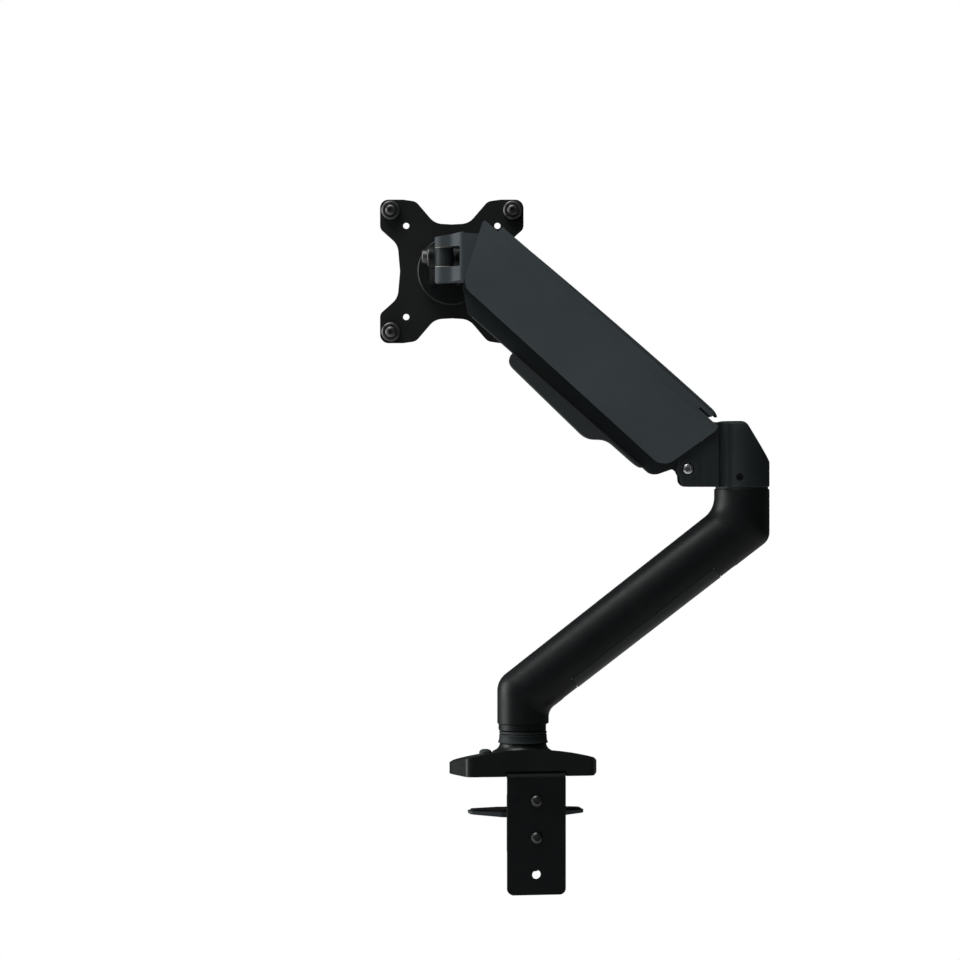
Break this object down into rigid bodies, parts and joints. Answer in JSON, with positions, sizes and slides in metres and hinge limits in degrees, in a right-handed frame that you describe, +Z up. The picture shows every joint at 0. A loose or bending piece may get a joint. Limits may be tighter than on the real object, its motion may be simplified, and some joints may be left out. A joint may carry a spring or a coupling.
{
  "type": "monitor arm",
  "caption": "Desk-clamp monitor arm with a swivelling lower arm, a sprung parallelogram upper arm and a VESA head that pans, tilts and rotates.",
  "frame": {"origin": "on the base swivel axis, in the plane of the desk top, which is the underside of the desk pad", "axes": "+Z up along the base swivel axis, +Y into the desk from the clamp back plate, +X along the desk edge"},
  "size_m": [0.299, 0.1458, 0.5574],
  "materials": {
    "coat": "fine satin black powder coat on cast aluminium and steel",
    "shell": "fine-textured charcoal plastic with a soft sheen",
    "dark": "matte black plastic",
    "plate": "matte powder coat on sheet steel, a little warmer than the castings",
    "steel": "bright turned steel",
    "black_steel": "black oxide steel",
    "bush": "natural acetal bearing plastic",
    "foam": "black closed-cell foam rubber"
  },
  "bodies": {
    "base": {"desk_pad": "foam", "base_plate": "black_steel", "swivel_post": "steel", "base_cover": "shell", "cover_knob": "dark", "back_bracket": "coat", "clamp_bracket": "coat", "clamp_nut": "black_steel", "bracket_screw_1": "black_steel", "bracket_screw_2": "black_steel", "base_screw_1": "black_steel", "base_screw_2": "black_steel", "neck_collar": "coat", "friction_ring": "dark"},
    "jaw": {"clamp_jaw": "coat", "jaw_pad": "foam"},
    "screw": {"clamp_screw": "black_steel", "clamp_knob": "dark"},
    "lower": {"lower_arm": "coat", "lower_cable_cover": "shell", "post_bush": "bush", "elbow_pin": "steel", "elbow_washer": "dark"},
    "elbow": {"elbow_knuckle": "coat", "elbow_bush": "bush", "elbow_set_screw": "black_steel", "main_pivot_pin": "steel", "link_bolt_near": "steel", "link_bolt_far": "steel", "tension_block": "black_steel"},
    "upper": {"arm_frame": "coat", "near_side_cover": "shell", "far_side_cover": "shell", "top_spine": "shell", "gas_cylinder": "black_steel", "gas_pin": "steel"},
    "rod": {"gas_rod": "steel", "rod_end": "black_steel", "anchor_pin": "steel"},
    "link": {"lower_link": "coat", "arm_cable_cover": "dark"},
    "head": {"head_fork": "coat", "head_link_bolt_near": "steel", "head_link_bolt_far": "steel", "head_pivot_pin": "steel", "pan_pin": "steel", "pan_washer_1": "bush", "pan_washer_2": "bush"},
    "pan": {"tilt_block": "coat"},
    "tilt": {"tilt_bracket": "coat", "tilt_bolt": "black_steel", "tilt_washer": "steel", "tilt_nut": "black_steel", "hub_bolt": "steel", "friction_washer": "bush"},
    "plate": {"vesa_plate": "plate", "thumb_screw_1": "black_steel", "thumb_screw_2": "black_steel", "thumb_screw_3": "black_steel", "thumb_screw_4": "black_steel"}
  },
  "joints": [
    {"name": "base_swivel", "type": "hinge", "parent": "base", "child": "lower", "pos_m": [0, 0, 0.034], "axis": [0, 0, 1], "continuous": true},
    {"name": "elbow_swivel", "type": "hinge", "parent": "lower", "child": "elbow", "pos_m": [0.17284, -0.02738, 0.228], "axis": [0, 0, 1], "continuous": true},
    {"name": "arm_lift", "type": "hinge", "parent": "elbow", "child": "upper", "pos_m": [0.13828, -0.0219, 0.269], "axis": [0.1564, 0.9877, 0], "range_deg": [-68, 8]},
    {"name": "link_swing", "type": "hinge", "parent": "elbow", "child": "link", "pos_m": [0.12909, -0.02045, 0.2427], "axis": [0.1564, 0.9877, 0], "range_deg": [-68, 8]},
    {"name": "head_level", "type": "hinge", "parent": "upper", "child": "head", "pos_m": [-0.02845, 0.00451, 0.418], "axis": [0.1564, 0.9877, 0], "range_deg": [-8, 68]},
    {"name": "rod_slide", "type": "slide", "parent": "upper", "child": "rod", "axis": [0.7405, -0.1173, -0.6618], "range_m": [-0.02312, 0.00281]},
    {"name": "head_pan", "type": "hinge", "parent": "head", "child": "pan", "pos_m": [-0.06203, 0.00982, 0.412], "axis": [0, 0, 1], "range_deg": [0, 180]},
    {"name": "head_tilt", "type": "hinge", "parent": "pan", "child": "tilt", "pos_m": [-0.05686, 0.04242, 0.415], "axis": [0.9877, -0.1564, 0], "range_deg": [-30, 30]},
    {"name": "vesa_rotate", "type": "hinge", "parent": "tilt", "child": "plate", "pos_m": [-0.04594, 0.07815, 0.4056], "axis": [0.1564, 0.9877, 0], "range_deg": [-90, 90]},
    {"name": "clamp_slide", "type": "slide", "parent": "base", "child": "jaw", "axis": [0, 0, 1], "range_m": [0, 0.02]},
    {"name": "clamp_turn", "type": "hinge", "parent": "jaw", "child": "screw", "pos_m": [0.004, 0.011, -0.05], "axis": [0, 0, 1], "continuous": true}
  ],
  "couplings": [
    {"joint": "link_swing", "follows": "arm_lift", "ratio": 1},
    {"joint": "head_level", "follows": "arm_lift", "ratio": -1},
    {"joint": "rod_slide", "follows": "arm_lift", "m_per_rad": 0.0194},
    {"joint": "clamp_turn", "follows": "clamp_slide", "rad_per_m": 3590.4}
  ]
}
